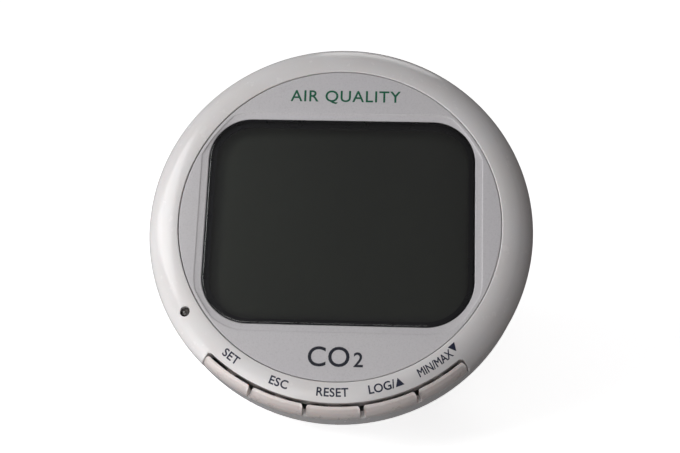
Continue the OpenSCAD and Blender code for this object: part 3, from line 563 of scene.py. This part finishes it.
def corner_bulge(distance, radius):
    """How far a rounded corner stands in from a straight edge, this far from the edge's end."""
    short = max(0.0, 1 - distance / radius)
    return radius * (1 - math.sqrt(1 - short * short))


def crown_notched(to_end):
    """The wall behind the keys, down to the back edge, this far (mm) from the notch's end."""
    wall_r = NOTCH_R + corner_bulge(to_end, NOTCH_CORNER)
    top = float(rim_z(wall_r - NOTCH_LIP))
    lip = arc(wall_r - NOTCH_LIP, top - NOTCH_LIP_DROP, NOTCH_LIP, 72, 0, 6)
    lip[:, 1] = np.minimum(lip[:, 1], top - 0.02)
    down = np.linspace(top - 0.6, -BEZEL_DEPTH + 0.15, OUTER_STEPS - 8)
    wall = np.column_stack([np.full(len(down), wall_r), down])
    return np.vstack([lip, wall, [(wall_r - 0.15, -BEZEL_DEPTH), (GUIDE_R, -BEZEL_DEPTH)]])


def inner_full():
    """The crown's inside, from the side in to the ledge."""
    start = GUIDE_R - 0.5
    stop = math.degrees(math.acos((start - GROOVE_R) / (RIM_W - SHELL_WALL)))
    curve = crown_arc(SHELL_WALL, np.radians(np.linspace(0, stop, 10)))
    return np.vstack([curve, [(start, LEDGE_BOTTOM)]])


def inner_notched():
    """The inside of the keys' guide wall, up to the ledge."""
    up = np.linspace(-BEZEL_DEPTH + 0.3, LEDGE_BOTTOM, 10)
    wall = np.column_stack([np.full(len(up), GUIDE_R), up])
    return np.vstack([wall, [(GUIDE_R - 0.5, LEDGE_BOTTOM)]])


def bezel_section(offset, hole):
    """The rim's section, offset degrees from the middle of the keys; hole is the ledge's edge."""
    half = NOTCH_ANGLE / 2
    fillet = 0.3 / RIM_R * 180 / math.pi
    if offset <= half:
        outer = crown_notched(math.radians(half - offset) * NOTCH_R)
    else:
        into = min(1.0, (offset - half) / fillet)
        outer = crown_full(SKIN + 0.3 * (1 - math.sqrt(max(0.0, 1 - (1 - into) ** 2))))
    inner = inner_notched() if offset <= half + NOTCH_RIB else inner_full()
    ledge = [(hole, LEDGE_BOTTOM), (hole, LEDGE_TOP)]
    return np.vstack([crown_common(), outer, inner, ledge])


def key_angle(i):
    """The middle of a key, in degrees round the head's axis."""
    return -90 - NOTCH_ANGLE / 2 + KEY_PITCH * (i + 0.5)


def lamp_place():
    """The status lamp's axis, as (x, u)."""
    a = math.radians(LED_ANGLE)
    r = RIM_R - LED_INSET
    return r * math.cos(a), r * math.sin(a)


def build_bezel():
    """The white rim, with its hole for the lamp and its slots for the keys' stems."""
    half = NOTCH_ANGLE / 2
    ends = [half + d for d in (0, 0.003, 0.02, 0.06, 0.12, 0.2, 0.3, NOTCH_RIB, NOTCH_RIB + 0.004)]
    corner_span = math.degrees(NOTCH_CORNER / NOTCH_R)
    corner = [half - corner_span * k for k in (0.02, 0.07, 0.15, 0.28, 0.45, 0.7, 1.0)]
    plain = [a for a in np.arange(0, 180.01, 0.75) if min(abs(a - e) for e in ends + corner) > 0.12]
    offsets = sorted(set(ends + corner + plain))
    mirrored = offsets[-2:0:-1]
    angles = np.array([-90 + a for a in offsets] + [-90 - a for a in mirrored])
    rows = []
    for a, off, hole in zip(angles, offsets + mirrored, window_radius(angles, 1.2)):
        s = bezel_section(off, hole)
        rows.append(ring(s[:, 0], s[:, 1], np.full(len(s), a)))
    verts, faces = loft(rows, closed=True)
    obj = make_piece("rim_shell", head(verts), faces, FINISH["shell_white"],
                     replaces=("front_bezel",), smooth=33)
    parts = [drum(*lamp_place(), LED_R + LED_HOLE_CLEAR, LED_HOLE_TOP, LED_HOLE_BOTTOM)]
    for i in range(len(KEYS)):
        parts.append(radial_box(key_angle(i), GUIDE_R - 1, NOTCH_R + 0.6, STEM_W / 2 + STEM_CLEAR,
                                -BEZEL_DEPTH - 1, STEM_Z + STEM_H / 2 + STEM_CLEAR))
    boolean_cut(obj, cutter_from(parts))
    set_surface(obj, FINISH["shell_white"], 33)


# ---------------------------------------------------------------- face plate and window

def build_face():
    """The satin panel, with the sloping band round the window and a soft outer edge."""
    angles = np.linspace(-180, 180, FACE_STEPS, endpoint=False)
    rows = []
    for grow, z in BAND:
        r = np.minimum(window_radius(angles, grow), BAND_REACH + BAND_SPREAD * grow)
        rows.append(ring(r, z, angles))
    rows.append(ring(PANEL_R - 0.62, PANEL_TOP, angles))
    rows.append(ring(PANEL_R - PANEL_EDGE, PANEL_TOP, angles))
    for a in (68, 45, 22, 0):
        s = math.radians(a)
        rows.append(ring(PANEL_R - PANEL_EDGE + PANEL_EDGE * math.cos(s),
                         PANEL_TOP - PANEL_EDGE + PANEL_EDGE * math.sin(s), angles))
    rows.append(ring(PANEL_R, PANEL_BOTTOM, angles))
    verts, faces = loft(rows, closed=True)
    make_piece("face_plate", head(verts), faces, FINISH["face_satin"],
               replaces=("face_panel",), smooth=50)


def build_pane():
    """The clear window, with a rounded front edge."""
    g = -PANE_GAP
    profile = [(g - 0.55, PANE_TOP), (g - 0.30, PANE_TOP - 0.06), (g - 0.10, PANE_TOP - 0.22),
               (g, PANE_TOP - 0.5), (g, PANEL_BOTTOM)]
    verts, faces = loft([flat_outline(grow, z) for grow, z in profile], capped=True)
    make_piece("window_pane", head(verts), faces, FINISH["clear_pane"],
               replaces=("display_window",), smooth=50)


def build_border():
    """The black printed edge of the pane, on its side and round its underside."""
    low, high, top = PANEL_BOTTOM + 0.01, PANEL_BOTTOM + 0.06, -0.66
    profile = [(-0.02, top), (-0.02, low), (-BORDER_W, low), (-BORDER_W, high), (-0.2, high),
               (-0.2, top)]
    verts, faces = loft([flat_outline(grow, z) for grow, z in profile], closed=True)
    make_piece("pane_border", head(verts), faces, INK_BORDER, smooth=40)


# ---------------------------------------------------------------- keys and lamp

def key_section():
    """A key cap's section, as (radius, height)."""
    base = 0.2 - BEZEL_DEPTH
    points = [(KEY_IN, base), (KEY_IN, -1.5), (KEY_IN + 0.9, -1.9), (KEY_IN + 1.8, -3.1),
              (KEY_IN + 2.4, -4.8), (KEY_R, -6.6), (KEY_R, base)]
    return round_corners(points, [0.25, 0.2, 0.14, 0.8, 0.8, 0.8, 0.3], 5)


def key_rows(centre):
    """The key section along the rim, drawn in at both ends for their edges and corners."""
    section = key_section()
    middle = (section.max(0) + section.min(0)) / 2
    half_size = (section.max(0) - section.min(0)) / 2
    half = (KEY_PITCH - KEY_GAP_ANGLE) / 2
    turns = [math.radians(a) for a in (0, 18, 36, 54, 72, 90)]
    ends = [(KEY_FILLET * (1 - math.cos(t)), KEY_FILLET * (1 - math.sin(t))) for t in turns]
    ends += [(0.45, 0.0), (0.6, 0.0), (KEY_CORNER, 0.0)]
    left = [(-half + math.degrees(d / KEY_R), inset, d) for d, inset in ends]
    inner = [(a, 0.0, KEY_CORNER) for a in np.linspace(-half + 1.4, half - 1.4, 11)]
    right = [(-a, inset, d) for a, inset, d in reversed(left)]
    rows = []
    for a, inset, d in left + inner + right:
        s = middle + (section - middle) * (1 - inset / half_size)
        pull = corner_bulge(d, KEY_CORNER) / (KEY_R - KEY_IN)
        rows.append(ring(KEY_R - (KEY_R - s[:, 0]) * (1 - pull), s[:, 1],
                         np.full(len(s), centre + a)))
    return rows


def build_keys():
    """The five caps, each with a stem through the guide wall and a flange behind it."""
    low, high = STEM_Z - STEM_H / 2, STEM_Z + STEM_H / 2
    for i, key in enumerate(KEYS):
        centre = key_angle(i)
        verts, faces = loft(key_rows(centre), capped=True)
        make_piece(key + "_cap", head(verts), faces, FINISH["key_white"], key + "_key",
                   (key + "_button",), 30)
        stem = radial_box(centre, GUIDE_R - 0.4, KEY_IN + 0.5, STEM_W / 2, low, high)
        flange = radial_box(centre, GUIDE_R - 1.1, GUIDE_R - 0.2, STEM_W / 2 + 1.1, low, high)
        for label, (v, f) in (("stem", stem), ("flange", flange)):
            make_piece(key + "_" + label, v, f, FINISH["key_white"], key + "_key")


def build_lamp():
    """The status lamp's domed lens and its two leads."""
    x, u = lamp_place()
    sides = 40
    profile = [(LED_R, LED_BASE), (LED_R, LED_DOME)]
    profile += [(LED_R * math.cos(math.radians(t)), LED_DOME + LED_R * math.sin(math.radians(t)))
                for t in range(10, 90, 10)]
    rows = [circle(x, u, r, z, sides) for r, z in profile]
    verts, faces = loft(rows)
    verts = np.vstack([verts, [(x, u, LED_DOME + LED_R)]])
    top = len(verts) - 1
    last = top - sides
    faces += [(last + j, last + (j + 1) % sides, top) for j in range(sides)]
    faces.append(tuple(range(sides - 1, -1, -1)))
    make_piece("lamp_lens", head(verts), faces, FINISH["lamp_lens"],
               replaces=("status_lamp",), smooth=40)
    across = math.radians(LED_ANGLE + 90)
    for label, side in (("a", -1), ("b", 1)):
        px = x + side * LEAD_APART * math.cos(across)
        pu = u + side * LEAD_APART * math.sin(across)
        v, f = drum(px, pu, LEAD_R, LED_BASE, LEAD_END, 8)
        make_piece("lamp_lead_" + label, v, f, FINISH["contact_steel"])


# ---------------------------------------------------------------- printing

def embolden(bm, grow):
    """Moves a flat mesh's border out by grow, with sharp corners kept short."""
    push = {}
    for edge in bm.edges:
        if len(edge.link_faces) != 1:
            continue
        loop = edge.link_faces[0].loops[0]
        while loop.edge != edge:
            loop = loop.link_loop_next
        a, b = loop.vert, loop.link_loop_next.vert
        d = (b.co - a.co).normalized()
        if loop.face.normal.z < 0:
            d = -d
        for v in (a, b):
            push.setdefault(v, []).append(Vector((d.y, -d.x, 0)))
    for v, sides in push.items():
        total = sum(sides, Vector())
        if total.length < 1e-6:
            continue
        middle = total.normalized()
        reach = min(1.5, 1 / max(0.2, middle.dot(sides[0])))
        v.co += middle * (grow * reach)


def glyph_mesh(text, cap_height, spacing=1.0, bold=0.0, width=1.0):
    """Flat faces of a text in millimetres, centred on x = 0 with its baseline at y = 0.

    bold widens the strokes, and width squeezes or stretches the letters."""
    curve = bpy.data.curves.new("lettering", "FONT")
    curve.body = text
    curve.align_x = "CENTER"
    curve.size = 1.0
    curve.space_character = spacing
    curve.resolution_u = 5
    holder = new_object("lettering", curve)
    graph = bpy.context.evaluated_depsgraph_get()
    mesh = bpy.data.meshes.new_from_object(holder.evaluated_get(graph))
    bpy.data.objects.remove(holder)
    bm = bmesh.new()
    bm.from_mesh(mesh)
    bmesh.ops.remove_doubles(bm, verts=bm.verts, dist=1e-5)
    size = cap_height / 0.729  # the typeface's capitals are 0.729 of its size
    bmesh.ops.scale(bm, vec=(size * width, size, size), verts=bm.verts)
    bm.normal_update()
    embolden(bm, bold)
    return bm


def triangle_mesh(x, y, w, h, up):
    """A small solid arrowhead in millimetres."""
    bm = bmesh.new()
    tip = y + h if up else y
    flat = y if up else y + h
    ends = ((x - w / 2, flat, 0), (x + w / 2, flat, 0), (x, tip, 0))
    corners = [bm.verts.new(c) for c in ends]
    bm.faces.new(corners if up else corners[::-1])
    return bm


def fine_triangles(bm):
    """The mesh's points, triangles and border, with no edge much longer than INK_EDGE."""
    bmesh.ops.triangulate(bm, faces=bm.faces)
    # Three points in a line make an empty triangle, which an STL file would drop.
    inside = [e for e in bm.edges if len(e.link_faces) == 2]
    bmesh.ops.beautify_fill(bm, faces=bm.faces, edges=inside)
    for _ in range(5):
        long_edges = [e for e in bm.edges if e.calc_length() > INK_EDGE]
        if not long_edges:
            break
        bmesh.ops.subdivide_edges(bm, edges=long_edges, cuts=1)
        bmesh.ops.triangulate(bm, faces=bm.faces)
    bm.verts.index_update()
    verts = np.array([v.co for v in bm.verts])
    faces = [[v.index for v in f.verts] for f in bm.faces]
    border = [[v.index for v in e.verts] for e in bm.edges if len(e.link_faces) == 1]
    bm.free()
    return verts, faces, border


def print_piece(name, meshes, place, material):
    """Ink on the head: place turns (x, y, height) into points in the head's frame."""
    verts, faces = [], []
    for bm in meshes:
        v, f, border = fine_triangles(bm)
        base, n = len(verts), len(v)
        verts.extend(place(v[:, 0], v[:, 1], INK_LIFT))
        verts.extend(place(v[:, 0], v[:, 1], -INK_SINK))
        faces += [tuple(base + i for i in t) for t in f]
        faces += [tuple(base + n + i for i in reversed(t)) for t in f]
        faces += [(base + a, base + b, base + n + b, base + n + a) for a, b in border]
    make_piece(name, head(verts), faces, material, smooth=20)


def on_rim(centre, baseline):
    """Places print along the rim: its baseline at a radius, its top towards the middle."""
    half_letter = 1.35

    def place(x, y, lift):
        r = baseline - y
        a = np.radians(centre) + x / (baseline - half_letter)
        return np.column_stack([r * np.cos(a), r * np.sin(a), rim_z(r) + lift])
    return place


def on_face(cx, cu):
    """Places print flat on the face panel, with the middle of its baseline at (cx, cu)."""
    def place(x, y, lift):
        return np.column_stack([cx + x, cu + y, np.full(len(x), PANEL_TOP + lift)])
    return place


def with_arrow(text, cap, up, bold, gap, width=1.0, rise=0.0):
    """A legend with an arrowhead after it, centred together."""
    bm = glyph_mesh(text, cap, 1.0, bold, width)
    xs = [v.co.x for v in bm.verts]
    shift = -(max(xs) + min(xs) + gap + ARROW[0]) / 2
    bmesh.ops.translate(bm, vec=(shift, 0, 0), verts=bm.verts)
    return [bm, triangle_mesh(max(xs) + shift + gap + ARROW[0] / 2, rise, *ARROW, up)]


def build_printing():
    """The key legends, the gas formula and a generic title."""
    base, cap, bold = 53.0, 2.5, 0.07
    for name, centre in (("set", -125.85), ("esc", -108.0), ("reset", -90.35)):
        letters = glyph_mesh(name.upper(), cap, 1.05, bold)
        print_piece("legend_" + name, [letters], on_rim(centre, base), INK_NAVY)
    print_piece("legend_log_up", with_arrow("LOG/", cap, True, bold, gap=-0.1),
                on_rim(-72.85, base), INK_NAVY)
    print_piece("legend_min_max_down",
                with_arrow("MIN/MAX", cap, False, 0.055, gap=0.0, width=0.8, rise=0.45),
                on_rim(-53.9, base), INK_NAVY)
    print_piece("gas_name", [glyph_mesh("CO", 6.1, 1.02, bold)], on_face(-1.7, -44.2), INK_BLACK)
    print_piece("gas_number", [glyph_mesh("2", 4.5, 1.0, bold)], on_face(7.0, -44.2), INK_BLACK)
    print_piece("purpose_name", [glyph_mesh("AIR QUALITY", 3.85, 1.1, 0.06)], on_face(0.6, 38.9),
                INK_GREEN)


# ---------------------------------------------------------------- room, in metres

FLOOR_HALF_WIDTH, FLOOR_FRONT, BACKDROP, BACKDROP_HEIGHT = 9.0, -9.0, 1.6, 2.4
BACKDROP_CURVE = 0.8
FLOOR_GLOW = 0.75

# Lamps that face the head: name, direction from its middle in its own frame, distance, size
# of the square, power in watts and colour.
HEAD_LAMPS = (
    ("key_light", (-0.80, 0.27, 0.58), 0.46, 0.30, 1.1, (1, 1, 1)),
    ("bounce_light", (-0.62, -0.72, 0.30), 0.40, 0.30, 0.65, (1.0, 0.985, 0.96)),
    ("front_light", (-0.22, -0.62, 0.75), 0.60, 0.40, 0.85, (1, 1, 1)),
)
BACK_LAMP_AT, BACK_LAMP_SIZE, BACK_LAMP_POWER = (0.12, 0.85, 0.85), (0.6, 0.5), 1.8
ROOM_LEFT, ROOM_RIGHT = (0.30, 0.30, 0.31), (0.06, 0.052, 0.048)

# The camera: its place (mm) and the direction back to it in the head's frame, its roll in
# degrees and its lens and sensor in mm.
CAMERA_AT, CAMERA_AWAY = (20.251, -116.051, 376.291), (0.0507, -0.2906, 0.9555)
CAMERA_ROLL, CAMERA_LENS, CAMERA_SENSOR = 2.05, 69.3, 36


def build_stage():
    """A pale floor that curves up into a backdrop."""
    bend = BACKDROP - BACKDROP_CURVE
    profile = [(FLOOR_FRONT, 0.0), (bend, 0.0)]
    profile += [(bend + BACKDROP_CURVE * math.sin(math.radians(a)),
                 BACKDROP_CURVE - BACKDROP_CURVE * math.cos(math.radians(a)))
                for a in range(6, 91, 6)]
    profile.append((BACKDROP, BACKDROP_HEIGHT))
    verts = [(x, y, z) for y, z in profile for x in (-FLOOR_HALF_WIDTH, FLOOR_HALF_WIDTH)]
    faces = [(2 * i, 2 * i + 1, 2 * i + 3, 2 * i + 2) for i in range(len(profile) - 1)]
    mesh = bpy.data.meshes.new("studio_floor")
    mesh.from_pydata(verts, [], faces)
    mesh.shade_smooth()
    floor = new_object("studio_floor", mesh)
    mat, shader = new_material("pale_paper", (0.93, 0.93, 0.93), 0.9)
    tree = mat.node_tree
    fine = noise(tree, 600, 4.0, 0.6)
    tree.links.new(blend_colors(tree, fine, (0.92, 0.92, 0.92), (0.94, 0.94, 0.94)),
                   shader.inputs["Base Color"])
    add_bump(tree, shader, [(fine, 0.05, 1e-4)])
    shader.inputs["Emission Color"].default_value = (1, 1, 1, 1)
    shader.inputs["Emission Strength"].default_value = FLOOR_GLOW
    mesh.materials.append(mat)
    floor.visible_diffuse = False
    floor.visible_glossy = False


def add_lamp(name, place, target, size, power, color=(1, 1, 1)):
    """A soft rectangular lamp that faces the target."""
    data = bpy.data.lights.new(name, "AREA")
    data.shape = "RECTANGLE"
    data.size, data.size_y = size
    data.energy = power
    data.color = color
    lamp = new_object(name, data)
    lamp.location = place
    lamp.rotation_mode = "QUATERNION"
    lamp.rotation_quaternion = (target - Vector(place)).to_track_quat("-Z", "Y")


def build_room_light():
    """A dim room that is lighter on the left than on the right."""
    world = bpy.data.worlds.new("studio")
    bpy.context.scene.world = world
    world.use_nodes = True
    tree = world.node_tree
    background = tree.nodes["Background"]
    coords = tree.nodes.new("ShaderNodeTexCoord")
    split = tree.nodes.new("ShaderNodeSeparateXYZ")
    tree.links.new(coords.outputs["Generated"], split.inputs["Vector"])
    across = remap(tree, split.outputs["X"], 0.0, 1.0, -1.0, 1.0)
    tree.links.new(blend_colors(tree, across, ROOM_LEFT, ROOM_RIGHT, 0.0, 1.0),
                   background.inputs["Color"])
    background.inputs["Strength"].default_value = 1.0


def build_lights():
    """Three soft lamps round the head, one behind it, and the dim room."""
    middle = Vector(head([(0, 0, 0)])[0])
    for name, way, distance, size, power, color in HEAD_LAMPS:
        place = middle + head_vector(way).normalized() * distance
        add_lamp(name, place, middle, (size, size), power, color)
    add_lamp("back_light", BACK_LAMP_AT, middle, BACK_LAMP_SIZE, BACK_LAMP_POWER)
    build_room_light()


def build_camera():
    """The camera, placed and rolled in the head's own frame."""
    away = head_vector(CAMERA_AWAY).normalized()
    forward = -away
    right = forward.cross(head_vector((0, 1, 0))).normalized()
    up = right.cross(forward)
    roll = math.radians(CAMERA_ROLL)
    side = right * math.cos(roll) + up * math.sin(roll)
    top = up * math.cos(roll) - right * math.sin(roll)
    data = bpy.data.cameras.new("camera")
    data.lens = CAMERA_LENS
    data.sensor_width = CAMERA_SENSOR
    camera = new_object("camera", data)
    camera.rotation_mode = "QUATERNION"
    camera.rotation_quaternion = Matrix((side, top, away)).transposed().to_quaternion()
    camera.location = head([CAMERA_AT])[0]
    bpy.context.scene.camera = camera


build_bezel()
build_face()
build_pane()
build_border()
build_keys()
build_lamp()
build_printing()
build_stage()
build_lights()
build_camera()
bpy.context.scene.view_settings.view_transform = "Standard"

bpy.context.view_layer.update()
